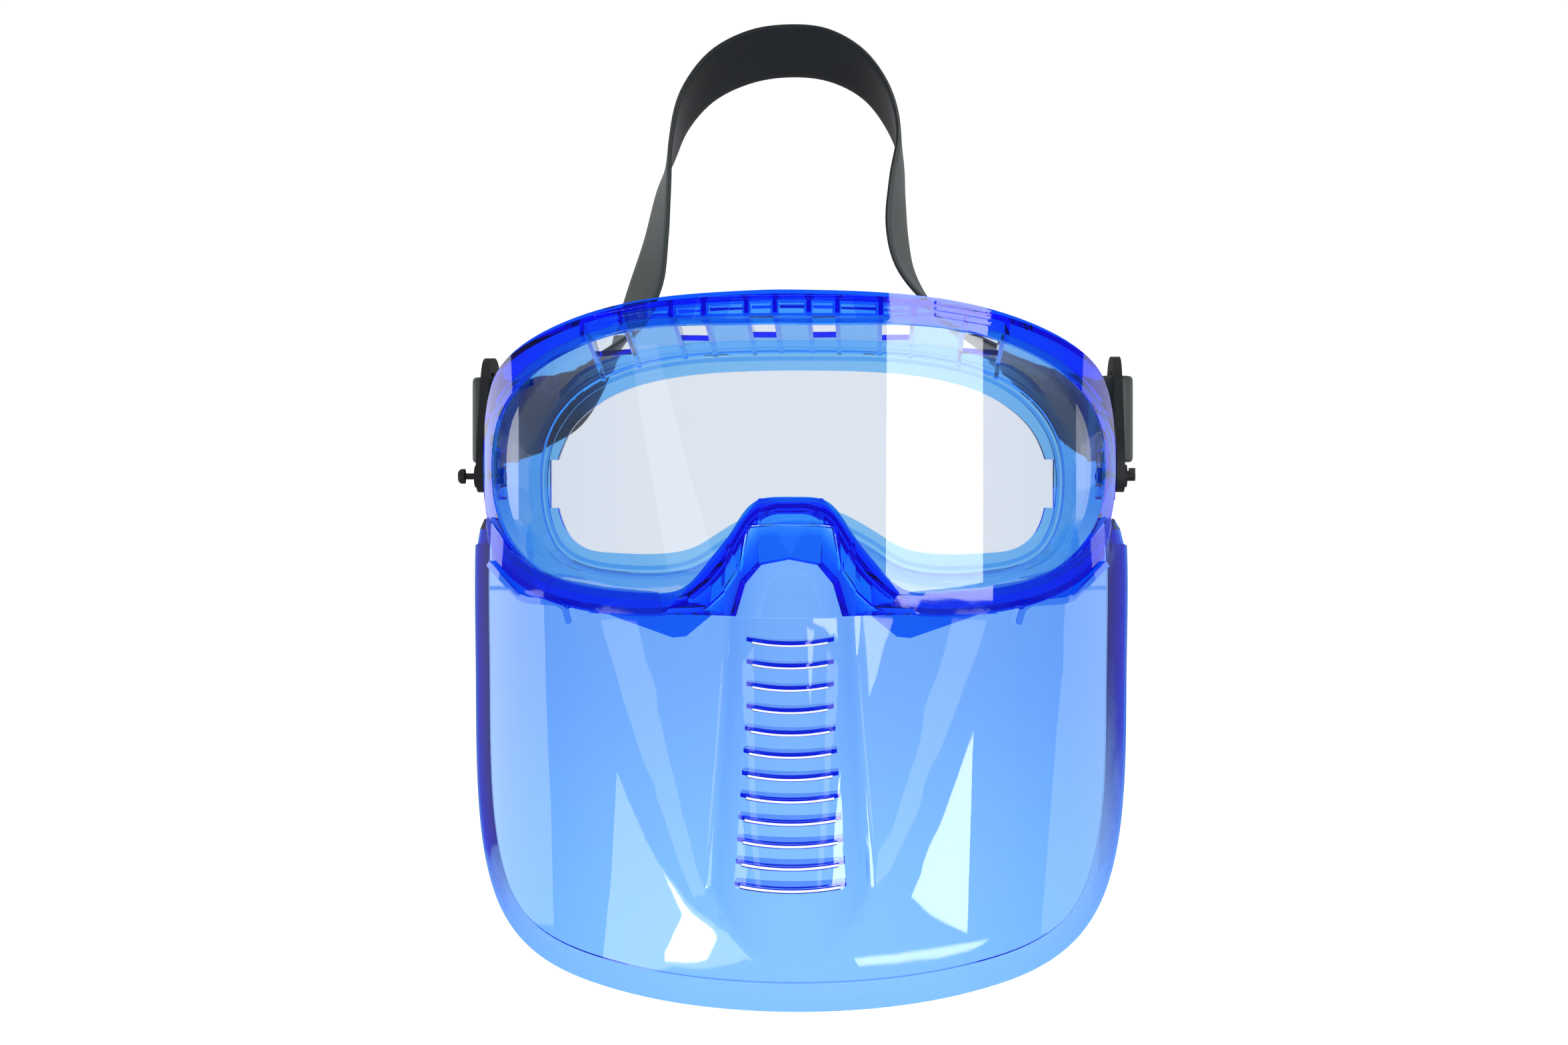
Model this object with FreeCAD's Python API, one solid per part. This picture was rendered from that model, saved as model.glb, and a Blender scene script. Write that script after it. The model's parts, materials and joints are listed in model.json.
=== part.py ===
import FreeCAD, Part
import math
import os

# Safety goggles with a detachable chin and face shield.
# Frame of reference: the object as worn.  The wearer looks along -Y, +Z is up,
# +X is the wearer's left.  The origin is the centre of the face opening.

os.makedirs("parts", exist_ok=True)

V = FreeCAD.Vector

# ---------------------------------------------------------------- dimensions (mm)
# Every curved front part is a slice of a vertical cylinder about this common axis.
FRONT_AXIS_Y = 54.0
LENS_OUTER_R = 100.0
LENS_THICK = 2.0
LENS_TUCK = 2.0              # how far the lens edge sits inside the rim groove
GROOVE_PLAY = 0.1
RIM_FRONT_R = 102.5
RIM_REAR_R = 95.5

# The soft rear flange lies on the face, on its own vertical cylinder.
FACE_AXIS_Y = 106.0
FLANGE_THICK = 1.5
FLANGE_RIB_FROM = 2.8        # a low rib on the flange, measured in from its outer edge
FLANGE_RIB_TO = 4.0
FLANGE_RIB_PROUD = 1.0
WALL_THICK = 1.6

# Half outlines, top centre to nose centre, as (x, z).  The four lists match point
# by point, so the side wall can run straight from the rim to the flange.
OPENING = [(0, 34.8), (15, 34.8), (30, 34.9), (42, 34.2), (53, 32.0), (62.5, 28.8),
           (71, 24.6), (78.5, 18.8), (83.4, 12), (85.6, 4.5), (86, -3), (85.2, -10.5),
           (82.5, -18.0), (77.5, -24.6), (69, -30.6), (59.5, -33.8), (48, -35.4),
           (38, -36), (29.5, -35), (22.5, -28.6), (15.5, -19.5), (9, -11.6),
           (4, -10.6), (0, -10.6)]
RIM_OUTER = [(0, 43.5), (16, 43.2), (32, 42.4), (45, 40.9), (57, 38.4), (67.2, 35.2),
             (77.0, 30.6), (84.2, 24.4), (87.6, 16.2), (88.9, 6.5), (89.2, -3),
             (88.5, -12), (86.2, -20.6), (81.4, -28.6), (72, -36), (61.5, -39.8),
             (50, -41.6), (40, -42.2), (30, -41.2), (19.5, -34.6), (12.5, -25),
             (7, -17), (3.5, -15.8), (0, -15.8)]
FACE_HOLE = [(0, 25.3), (12, 25.2), (24, 24.8), (36, 23.6), (46, 21.6), (54, 18.8),
             (60.5, 15), (66, 10), (69.5, 4), (71, -1), (71.2, -6), (70.8, -11),
             (69.3, -17), (66.3, -21.8), (61, -25), (53, -26), (45, -26.3), (37, -26),
             (29, -24.2), (23, -20.7), (17, -17), (10.5, -14), (5, -12.6), (0, -12.3)]
FACE_OUTER = [(0, 32), (13.5, 31.9), (27, 31.4), (40, 30), (51, 27.6), (60, 24),
              (67.5, 18.8), (73, 12.5), (76.5, 5.5), (77.8, -1), (78, -6),
              (77.6, -12), (75.8, -19.5), (71.5, -26.5), (64, -31), (54.5, -33),
              (45.5, -33.6), (36, -33.2), (26.5, -30.5), (20.5, -26.5), (14.5, -23),
              (9, -20.3), (4.5, -19), (0, -18.6)]

# Vents in the top wall: each lies between a pair of fins.
VENT_PAIRS = [(4.4, 11.8), (23.0, 31.6), (45.2, 56.0)]
VENT_DEEP = 15.0
FIN_THICK = 1.2
FIN_DROP_FRONT = 4.2
FIN_DROP_REAR = 0.9
TEMPLE_NOTCH_TOP = 1.0
TEMPLE_NOTCH_BOTTOM = -13.0
TEMPLE_NOTCH_DEEP = 2.2

# Brow band: a shallow stepped panel, pockets behind it, and grip ridges beside it.
BROW_HALF = 26.0
BROW_LOW = 36.0
BROW_HIGH = 42.0
BROW_DEEP = 0.8
BROW_INNER_HALF = 17.2
BROW_INNER_HIGH = 41.2
POCKET_EDGES = [(-3.3, 3.3), (5.5, 10.7), (12.9, 21.9), (24.1, 30.5), (32.7, 38.0)]
POCKET_LOW = 37.6
POCKET_ROOF = 2.9
POCKET_R = 99.0
GRIP_FROM = 38.0
GRIP_TO = 53.5
GRIP_HIGH = 41.0
GRIP_FALL = 2.1              # how much lower each ridge is at its outer end
GRIP_COUNT = 3
GRIP_PITCH = 1.6
GRIP_THICK = 0.8

# Nose hood: thick faceted cheeks and a thinner roof, standing forward of the shield.
HOOD_THICK = 7.5
HOOD_ROOF_THICK = 4.0
HOOD_B = V(8.3, -49.6, -11.0)        # bridge corner
HOOD_P = V(16.8, -49.0, -21.5)       # part way down the rim's nose line
HOOD_A = V(28.5, -46.8, -36.0)       # foot of the nose line
HOOD_E = V(7.2, -60.2, -28.2)        # top corner of the arch
HOOD_F = V(11.2, -61.2, -33.0)       # shoulder of the arch
HOOD_TOP = V(0, -60.4, -26.8)        # crown of the arch
HOOD_D = V(13.6, -61.6, -41.3)       # lower tip beside the arch
HOOD_Q = V(17.0, -57.6, -41.3)       # lower edge, outside the tip
HOOD_W = V(33.0, -50.0, -41.2)       # where the leaf leaves the nose
LEAF_INNER_R = 106.2
LEAF_OUTER_R = 108.0
LEAF = [(24, -41.3), (54.5, -41.4), (50, -39.0), (44, -37.4), (36, -36.4), (28, -36.2)]
# Room kept behind the hood for the shield's sheet and ridge, as (x, z).
HOOD_ROOM = [(0, -18.2), (11.3, -18.2), (12.3, -30.2), (16.6, -36.2), (20.3, -39.6),
             (34.2, -39.8), (34.2, -34.8), (50, -33.6), (50, -60), (0, -60)]
HOOD_GAP = 0.7

# Rear webs of the rim, below the nose line.
WEB_THICK = 4.0
WEB = [(60, -38), (31, -47.6), (27.5, -47.2), (20, -41.0), (19.5, -34), (30, -38)]
# Side webs under the rim's outer corners, as far out as the shield's beads.
SIDE_WEB = [(84.6, -20), (84.6, -28.2), (75.4, -36.8), (72.6, -37.6), (63.6, -38.2),
            (60.5, -40.6), (56, -39), (60, -36), (72, -32), (80, -25)]

# Face shield: a shallow tray whose lip flares outwards to the rear.
SHIELD_OUTER_R = 105.5
SHIELD_THICK = 2.0
FLARE_WIDE = 8.4             # the lip slopes back over this width
FLARE_DEEP = 5.0
HEM_DEEP = 4.0               # thin wall round the lip's outer edge
HEM_THICK = 1.0
RIM_ROOM = 0.6               # clear space cut in the lip where it passes round the rim
SHIELD_OUTLINE = [(0, 14), (35, 14), (65, 12), (84, 4), (91.5, -8), (93.6, -22),
                  (93.6, -58), (93.3, -80), (92.0, -99), (89.0, -113.5), (83.6, -125),
                  (75.5, -133), (64, -138.4), (50, -141.6), (34, -143.8), (17, -145.0),
                  (0, -145.4)]
SHIELD_TOP = [(0, -19), (10.5, -19), (11.5, -31), (16, -37), (20, -40.4), (33.5, -40.6),
              (35, -35.6), (50, -34.4), (62, -32.6), (71, -29.8), (78, -25.0),
              (82.2, -20.2), (85.4, -16.6), (87.0, -15.8), (88.8, -16.4), (91.0, -19.2),
              (92.4, -23.4), (97, -25)]
SHIELD_REAR_TOP = (19.0, -15.0)      # the rear edge of each side slopes from here (y, z)
SHIELD_REAR_LOW = (36.0, -98.0)      # to here
KEEL_TOP_Z = -19.0
KEEL_FULL_Z = -42.0
KEEL_FADE_Z = -112.0
KEEL_END_Z = -134.0
KEEL_HEIGHT = 6.4
KEEL_R_TOP = 22.0
KEEL_R_BOTTOM = 30.0
KEEL_BLEND = 5.0             # concave radius where the ridge meets the sheet
SLOT_COUNT = 12
SLOT_FIRST_Z = -47.4
SLOT_LAST_Z = -110.8
SLOT_HIGH = 1.2
SLOT_HALF_FIRST = 9.8
SLOT_HALF_LAST = 13.0
SLOT_EVEN = 4                # the first few slots are all the same width
SLOT_SAG = 0.8
BLADE_GAP = 1.2              # air gap between a slot and the splash blade behind it
BLADE_OVERLAP = 0.25         # how far a blade reaches above its slot
BLADE_HIGH = 1.1             # leaves the foot of the slot open to air
BLADE_TAB = 1.2              # width of the tabs that join a blade to the sheet
BEAD = [(85.8, -28.6), (75.4, -37.6), (72.6, -38.4), (63.6, -38.8), (61.2, -40.2),
        (60.2, -43.6)]
BEAD_WIDE = 1.8
BEAD_PROUD = 1.1
EJECTOR_X = 17.0             # two round marks on the lower front face
EJECTOR_Z = -119.0
EJECTOR_R = 2.3
EJECTOR_RING = 0.5
EJECTOR_PROUD = 0.15

# Side lugs and the pins the strap brackets swing on.
PIVOT_Y = 16.0
PIVOT_Z = -4.0
LUG_IN = 85.4
LUG_OUT = 89.8
LUG_FRONT_Y = 11.6
LUG_REAR_Y = 21.0
LUG_TOP_Z = 4.0
LUG_BOTTOM_Z = -11.0
RIVET_R = 0.9
RIVET_HEAD_R = 2.15
RIVET_HEAD_THICK = 2.0
RIVET_END_X = 98.4
PIN_R = 1.45
PIN_END_X = 95.8
PIN_HOOK_LONG = 1.7
PIN_HOOK_RISE = 0.8
CAP_R = 2.3
CAP_THICK = 1.2
CAP_SEAT_X = 80.0            # each cap's flat seat is cut through the wall from here
RUN_FIT = 0.05

# Strap brackets: a leaf-shaped plate with two bars bowed outwards.
PLATE_IN = 90.2
PLATE_OUT = 92.6
BRACKET = [(11.4, -4.4), (12.8, -7.6), (16.2, -8.6), (24, -7.6), (38, -6.0), (42, -4.2),
           (43.2, -2), (43.2, 21), (41.6, 26.6), (37, 30.2), (30, 31.0), (23.5, 29.4),
           (17.8, 19), (13.0, 7)]
STRAP_SLOT_LOW = -0.8
STRAP_SLOT_HIGH = 26.4
SLOT_FRONT_Y = 25.2
SLOT_REAR_Y = 33.0
STRAP_SLOT_WIDE = 4.6
BAR_WIDE = 3.2
BOSS_R = 3.2
BAR_BOW = 2.2

# Elastic strap.
STRAP_THICK = 1.6
STRAP_LOW = 0.3
STRAP_HIGH = 25.3
# Path through one bracket as (x, y), from the free tail to the long run: the tail
# lies inside, the band goes out round the middle bar and back in past the rear bar.
WEAVE = [(86.7, 43.0), (86.7, 38.0), (86.8, 33.0), (87.1, 29.4), (88.0, 27.4),
         (89.8, 26.9), (92.0, 27.1), (94.4, 28.0), (95.7, 29.8), (95.9, 31.4),
         (95.6, 33.2), (94.2, 34.8), (92.0, 35.6), (90.2, 36.5), (89.2, 38.4),
         (89.0, 41.0), (89.0, 44.0)]


# ---------------------------------------------------------------- small helpers
def on_cylinder(x, radius, axis_y):
    """y of the front of a vertical cylinder at the given x."""
    return axis_y - math.sqrt(radius * radius - x * x)


def ring(outer_r, inner_r, axis_y, low=-200.0, high=200.0):
    """Vertical tube, front half only."""
    outer = Part.makeCylinder(outer_r, high - low, V(0, axis_y, low))
    inner = Part.makeCylinder(inner_r, high - low + 2, V(0, axis_y, low - 1))
    size = 2 * outer_r + 10
    front = Part.makeBox(size, outer_r + 5, high - low,
                         V(-size / 2, axis_y - outer_r - 5, low))
    return outer.cut(inner).common(front)


def both_sides(half):
    """Close a half outline by mirroring it about x = 0."""
    left = [(-x, z) for x, z in reversed(half) if x > 0]
    return list(half) + left


def smooth_loop(points):
    """Closed smooth edge through 3-D points."""
    curve = Part.BSplineCurve()
    curve.interpolate(Points=points, PeriodicFlag=True)
    return curve.toShape()


def smooth_prism(half, y_from=-120.0, y_to=120.0):
    """Smooth closed outline in XZ, extruded along Y."""
    points = [V(x, y_from, z) for x, z in both_sides(half)]
    face = Part.Face(Part.Wire(smooth_loop(points)))
    return face.extrude(V(0, y_to - y_from, 0))


def flat_prism(outline, y_from=-120.0, y_to=120.0):
    """Straight-sided outline in XZ, extruded along Y."""
    points = [V(x, y_from, z) for x, z in outline]
    face = Part.Face(Part.makePolygon(points + [points[0]]))
    return face.extrude(V(0, y_to - y_from, 0))


def side_prism(outline, x_from, x_to):
    """Straight-sided outline in YZ, extruded along X."""
    points = [V(x_from, y, z) for y, z in outline]
    face = Part.Face(Part.makePolygon(points + [points[0]]))
    return face.extrude(V(x_to - x_from, 0, 0))


def shifted(base, target, distance):
    """Move each base point toward its partner in target by a fixed distance."""
    moved = []
    for (x0, z0), (x1, z1) in zip(base, target):
        length = math.hypot(x1 - x0, z1 - z0)
        moved.append((x0 + (x1 - x0) * distance / length,
                      z0 + (z1 - z0) * distance / length))
    return moved


def loop_on(half, radius, axis_y):
    """The closed outline laid on a vertical cylinder."""
    return smooth_loop([V(x, on_cylinder(x, radius, axis_y), z)
                        for x, z in both_sides(half)])


def closed_tube(loops):
    """Solid bounded by ruled faces between four loops taken in order."""
    faces = []
    for index, loop in enumerate(loops):
        faces.append(Part.makeRuledSurface(loop, loops[(index + 1) % len(loops)]))
    shell = Part.makeShell(faces)
    shell.sewShape()
    solid = Part.makeSolid(shell)
    if solid.Volume < 0:
        solid.reverse()
    return solid


def mirror_x(shape):
    return shape.mirror(V(0, 0, 0), V(1, 0, 0))


def fuse_all(shapes):
    return shapes[0].multiFuse(shapes[1:])


def box(x0, x1, y0, y1, z0, z1):
    return Part.makeBox(x1 - x0, y1 - y0, z1 - z0, V(x0, y0, z0))


def rod_x(radius, x0, x1):
    return Part.makeCylinder(radius, abs(x1 - x0), V(min(x0, x1), PIVOT_Y, PIVOT_Z), V(1, 0, 0))


def save(name, shape):
    shape.exportStep("parts/" + name + ".step")


# ---------------------------------------------------------------- goggle frame
def height_at(half, x):
    """Height of the upper part of a half outline at the given x."""
    for (x0, z0), (x1, z1) in zip(half, half[1:]):
        if x0 <= x <= x1:
            return z0 + (z1 - z0) * (x - x0) / (x1 - x0)
    return half[0][1]


def top_wall_height(x, y):
    """Height of the outer face of the top wall above a point."""
    y_front = on_cylinder(x, RIM_REAR_R, FRONT_AXIS_Y)
    y_rear = on_cylinder(x, FACE_AXIS_Y, FACE_AXIS_Y)
    part = (y - y_front) / (y_rear - y_front)
    front = height_at(RIM_OUTER, x)
    return front + (height_at(FACE_OUTER, x) - front) * part


def make_rim():
    solid = ring(RIM_FRONT_R, RIM_REAR_R, FRONT_AXIS_Y).common(smooth_prism(RIM_OUTER))
    return solid.cut(smooth_prism(OPENING))


def make_wall():
    front_out = shifted(RIM_OUTER, OPENING, 0.25)
    front_in = shifted(RIM_OUTER, OPENING, 0.25 + WALL_THICK)
    rear_out = shifted(FACE_OUTER, FACE_HOLE, 0.6)
    rear_in = shifted(FACE_OUTER, FACE_HOLE, 0.6 + WALL_THICK)
    front_r = RIM_REAR_R + 1.2
    rear_r = FACE_AXIS_Y - 0.6
    return closed_tube([loop_on(front_out, front_r, FRONT_AXIS_Y),
                        loop_on(front_in, front_r, FRONT_AXIS_Y),
                        loop_on(rear_in, rear_r, FACE_AXIS_Y),
                        loop_on(rear_out, rear_r, FACE_AXIS_Y)])


def make_flange():
    sheet = ring(FACE_AXIS_Y, FACE_AXIS_Y - FLANGE_THICK, FACE_AXIS_Y)
    solid = sheet.common(smooth_prism(FACE_OUTER)).cut(smooth_prism(FACE_HOLE))
    rib = ring(FACE_AXIS_Y + FLANGE_RIB_PROUD, FACE_AXIS_Y - 0.4, FACE_AXIS_Y)
    rib = rib.common(smooth_prism(shifted(FACE_OUTER, FACE_HOLE, FLANGE_RIB_FROM)))
    rib = rib.cut(smooth_prism(shifted(FACE_OUTER, FACE_HOLE, FLANGE_RIB_TO)))
    solid = solid.fuse(rib)
    for side in (1, -1):
        x_in = side * 66.0
        x_out = side * (71.0 + TEMPLE_NOTCH_DEEP)
        notch = box(min(x_in, x_out), max(x_in, x_out), 0, 60,
                    TEMPLE_NOTCH_BOTTOM, TEMPLE_NOTCH_TOP)
        solid = solid.cut(notch)
    return solid


def make_vents():
    cuts = []
    for x_near, x_far in VENT_PAIRS:
        x = (x_near + x_far) / 2
        half = (x_far - x_near - FIN_THICK) / 2
        y_front = on_cylinder(x, RIM_REAR_R, FRONT_AXIS_Y)
        y_rear = on_cylinder(x, FACE_AXIS_Y, FACE_AXIS_Y)
        middle = (y_front + y_rear) / 2
        for side in (1, -1):
            centre = side * x
            cuts.append(box(centre - half, centre + half,
                            middle - VENT_DEEP / 2, middle + VENT_DEEP / 2, 22, 60))
    return cuts


def make_fins():
    fins = []
    for x in [edge for pair in VENT_PAIRS for edge in pair]:
        y_front = on_cylinder(x, RIM_REAR_R + 1, FRONT_AXIS_Y)
        y_rear = on_cylinder(x, FACE_AXIS_Y - 1, FACE_AXIS_Y)
        top_front = top_wall_height(x, y_front) - 1.2
        top_rear = top_wall_height(x, y_rear) - 1.2
        outline = [(y_front, top_front), (y_rear, top_rear),
                   (y_rear, top_rear - FIN_DROP_REAR),
                   (y_front, top_front - FIN_DROP_FRONT)]
        for side in (1, -1):
            centre = side * x
            fins.append(side_prism(outline, centre - FIN_THICK / 2, centre + FIN_THICK / 2))
    return fins


def brow_panel(half, high, depth):
    panel = ring(RIM_FRONT_R + 2, RIM_FRONT_R - depth, FRONT_AXIS_Y)
    outline = [(-half, BROW_LOW), (half, BROW_LOW), (half - 1.5, high), (1.5 - half, high)]
    return panel.common(flat_prism(outline, -80, 0))


def make_brow_cuts():
    cuts = [brow_panel(BROW_HALF, BROW_HIGH, BROW_DEEP),
            brow_panel(BROW_INNER_HALF, BROW_INNER_HIGH, 2 * BROW_DEEP)]
    hollow = ring(POCKET_R, RIM_REAR_R - 6, FRONT_AXIS_Y)
    for x0, x1 in POCKET_EDGES:
        high = height_at(RIM_OUTER, x1) - POCKET_ROOF
        cuts.append(hollow.common(box(x0, x1, -60, -10, POCKET_LOW, high)))
        if x0 > 0:
            cuts.append(hollow.common(box(-x1, -x0, -60, -10, POCKET_LOW, high)))
    return cuts


def make_grips():
    band = ring(RIM_FRONT_R + 0.7, RIM_FRONT_R - 1.0, FRONT_AXIS_Y)
    grips = []
    for row in range(GRIP_COUNT):
        high = GRIP_HIGH - row * GRIP_PITCH
        outline = [(GRIP_FROM, high), (GRIP_TO, high - GRIP_FALL),
                   (GRIP_TO, high - GRIP_FALL - GRIP_THICK),
                   (GRIP_FROM, high - GRIP_THICK)]
        bar = band.common(flat_prism(outline, -80, 20))
        grips.append(bar)
        grips.append(mirror_x(bar))
    return grips


def facet(corners, thick=HOOD_THICK):
    """Triangular plate, extruded back along Y."""
    face = Part.Face(Part.makePolygon(list(corners) + [corners[0]]))
    return face.extrude(V(0, thick, 0))


def make_hood():
    half = [facet((HOOD_B, HOOD_P, HOOD_E)), facet((HOOD_P, HOOD_F, HOOD_E)),
            facet((HOOD_P, HOOD_Q, HOOD_F)), facet((HOOD_F, HOOD_Q, HOOD_D)),
            facet((HOOD_P, HOOD_A, HOOD_Q)), facet((HOOD_A, HOOD_W, HOOD_Q)),
            facet((HOOD_B, HOOD_E, HOOD_TOP), HOOD_ROOF_THICK),
            facet((HOOD_B, HOOD_TOP, V(0, HOOD_B.y, HOOD_B.z)), HOOD_ROOF_THICK)]
    cheek = fuse_all(half)
    room = flat_prism(HOOD_ROOM)
    sheet = ring(SHIELD_OUTER_R + HOOD_GAP, RIM_FRONT_R, FRONT_AXIS_Y).common(room)
    ridge = make_keel(-HOOD_GAP).common(room)
    leaf = ring(LEAF_OUTER_R, LEAF_INNER_R, FRONT_AXIS_Y).common(flat_prism(LEAF))
    side = cheek.cut([sheet, ridge]).fuse(leaf)
    return [side, mirror_x(side)]


def make_frame():
    rim = make_rim()
    web = ring(RIM_FRONT_R, RIM_FRONT_R - WEB_THICK, FRONT_AXIS_Y)
    webs = web.common(flat_prism(WEB).fuse(flat_prism(SIDE_WEB)))
    lug = box(LUG_IN, LUG_OUT, LUG_FRONT_Y, LUG_REAR_Y, LUG_BOTTOM_Z, LUG_TOP_Z)
    lug = lug.makeFillet(2.0, [e for e in lug.Edges
                               if abs(e.tangentAt(e.FirstParameter).x) > 0.9])
    shapes = [rim, make_wall(), make_flange(), webs, mirror_x(webs), lug, mirror_x(lug)]
    shapes += make_fins()
    shapes += make_grips()
    shapes += make_hood()
    body = fuse_all(shapes)
    cuts = make_vents()
    cuts += make_brow_cuts()
    groove = ring(LENS_OUTER_R + GROOVE_PLAY, LENS_OUTER_R - LENS_THICK - GROOVE_PLAY,
                  FRONT_AXIS_Y)
    cuts.append(groove.common(smooth_prism(shifted(OPENING, RIM_OUTER,
                                                   LENS_TUCK + GROOVE_PLAY))))
    cuts.append(rod_x(RIVET_R + RUN_FIT, -LUG_OUT - 1, -LUG_IN + 1))
    cuts.append(rod_x(PIN_R + RUN_FIT, LUG_IN - 1, LUG_OUT + 1))
    cuts.append(rod_x(CAP_R + RUN_FIT, -LUG_IN, -CAP_SEAT_X))
    cuts.append(rod_x(CAP_R + RUN_FIT, CAP_SEAT_X, LUG_IN))
    return body.cut(cuts)


# ---------------------------------------------------------------- lens
def make_lens():
    sheet = ring(LENS_OUTER_R, LENS_OUTER_R - LENS_THICK, FRONT_AXIS_Y)
    return sheet.common(smooth_prism(shifted(OPENING, RIM_OUTER, LENS_TUCK)))


# ---------------------------------------------------------------- face shield
def inset_outline(outline, distance):
    """Move each point inward, square to the outline there."""
    moved = []
    last = len(outline) - 1
    for index, (x, z) in enumerate(outline):
        before = outline[max(0, index - 1)]
        after = outline[min(last, index + 1)]
        dx = after[0] - before[0]
        dz = after[1] - before[1]
        if index == last:
            dz = 0.0
        length = math.hypot(dx, dz)
        moved.append((x + dz / length * distance, z - dx / length * distance))
    return moved


def make_lip():
    """Sloping lip round the sheet, and the thin hem behind its outer edge."""
    start = inset_outline(SHIELD_OUTLINE, FLARE_WIDE + 0.1)
    hem = inset_outline(SHIELD_OUTLINE, HEM_THICK)
    front_r = SHIELD_OUTER_R - 0.05
    edge_r = SHIELD_OUTER_R - FLARE_DEEP
    slope = closed_tube([loop_on(start, front_r, FRONT_AXIS_Y),
                         loop_on(SHIELD_OUTLINE, edge_r, FRONT_AXIS_Y),
                         loop_on(SHIELD_OUTLINE, edge_r - SHIELD_THICK, FRONT_AXIS_Y),
                         loop_on(start, front_r - SHIELD_THICK, FRONT_AXIS_Y)])
    turned = closed_tube([loop_on(SHIELD_OUTLINE, edge_r - 0.6, FRONT_AXIS_Y),
                          loop_on(SHIELD_OUTLINE, edge_r - HEM_DEEP, FRONT_AXIS_Y),
                          loop_on(hem, edge_r - HEM_DEEP, FRONT_AXIS_Y),
                          loop_on(hem, edge_r - 0.6, FRONT_AXIS_Y)])
    return slope.fuse(turned)


def make_keel(inset):
    """Raised central ridge, fading out above the bottom lip."""
    base_y = FRONT_AXIS_Y - SHIELD_OUTER_R + inset
    front = [(KEEL_TOP_Z, 0.0, KEEL_R_TOP), (KEEL_FULL_Z, KEEL_HEIGHT, KEEL_R_TOP),
             (KEEL_FADE_Z, KEEL_HEIGHT, KEEL_R_BOTTOM), (KEEL_END_Z, 0.0, KEEL_R_BOTTOM)]
    wires = []
    for z, rise, radius in front:
        r = radius - inset
        centre_y = base_y - rise + r
        circle = Part.makeCircle(r, V(0, centre_y, z))
        wires.append(Part.Wire(circle))
    solid = Part.makeLoft(wires, True, True)
    keep = box(-60, 60, -90, base_y + 6.0, -160, 0)
    return solid.common(keep)


def blend_keel(solid, front_r, radius):
    """Round the line where the ridge rises from the sheet."""
    chosen = []
    for edge in solid.Edges:
        middle = edge.valueAt((edge.FirstParameter + edge.LastParameter) / 2)
        reach = math.hypot(middle.x, middle.y - FRONT_AXIS_Y)
        on_sheet = abs(reach - front_r) < 0.02
        beside = 0.5 < abs(middle.x) < 26
        if on_sheet and beside and KEEL_END_Z - 1 < middle.z < KEEL_TOP_Z - 1:
            chosen.append(edge)
    return solid.makeFillet(radius, chosen)


def slot_half(index):
    part = max(0.0, index - SLOT_EVEN + 1) / (SLOT_COUNT - SLOT_EVEN)
    return SLOT_HALF_FIRST + (SLOT_HALF_LAST - SLOT_HALF_FIRST) * part


def slot_top(index):
    return SLOT_FIRST_Z + (SLOT_LAST_Z - SLOT_FIRST_Z) * index / (SLOT_COUNT - 1)


def sagging_bar(half, top_z, high, sag):
    """Bar with sagging top and bottom edges, extruded along Y."""
    low_z = top_z - high
    top = Part.Arc(V(-half, -90, top_z), V(0, -90, top_z - sag),
                   V(half, -90, top_z)).toShape()
    low = Part.Arc(V(-half, -90, low_z), V(0, -90, low_z - sag),
                   V(half, -90, low_z)).toShape()
    right = Part.makeLine(V(half, -90, top_z), V(half, -90, low_z))
    left = Part.makeLine(V(-half, -90, low_z), V(-half, -90, top_z))
    return Part.Face(Part.Wire([top, right, low, left])).extrude(V(0, 60, 0))


def slot_cut(index):
    return sagging_bar(slot_half(index), slot_top(index), SLOT_HIGH, SLOT_SAG)


def splash_blade(index, ridge, ridge_behind):
    """Blade behind a slot, joined to the sheet by a tab at each end."""
    reach = slot_half(index)
    wide = reach + BLADE_TAB
    sag = SLOT_SAG * (wide / reach) ** 2
    top = slot_top(index) - SLOT_SAG + BLADE_OVERLAP + sag
    blade = sagging_bar(wide, top, BLADE_HIGH, sag).common(ridge)
    middle = box(-reach, reach, -90, 0, slot_top(index) - 8, slot_top(index) + 8)
    return blade.cut(middle.cut(ridge_behind))


def thick_path(path, width):
    """Flat band of the given width along a path in XZ, as overlapping pieces."""
    pieces = []
    for (x0, z0), (x1, z1) in zip(path, path[1:]):
        length = math.hypot(x1 - x0, z1 - z0)
        nx = -(z1 - z0) / length * width / 2
        nz = (x1 - x0) / length * width / 2
        pieces.append(flat_prism([(x0 + nx, z0 + nz), (x1 + nx, z1 + nz),
                                  (x1 - nx, z1 - nz), (x0 - nx, z0 - nz)], -80, 40))
        pieces.append(Part.makeCylinder(width / 2, 120, V(x1, -80, z1), V(0, 1, 0)))
    return fuse_all(pieces)


def ejector_mark():
    """Faint raised ring left by an ejector pin, on the outside of the sheet."""
    band = ring(SHIELD_OUTER_R + EJECTOR_PROUD, SHIELD_OUTER_R - 0.5, FRONT_AXIS_Y)
    start = V(EJECTOR_X, -80, EJECTOR_Z)
    outer = Part.makeCylinder(EJECTOR_R, 40, start, V(0, 1, 0))
    inner = Part.makeCylinder(EJECTOR_R - EJECTOR_RING, 40, start, V(0, 1, 0))
    return band.common(outer.cut(inner))


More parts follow.
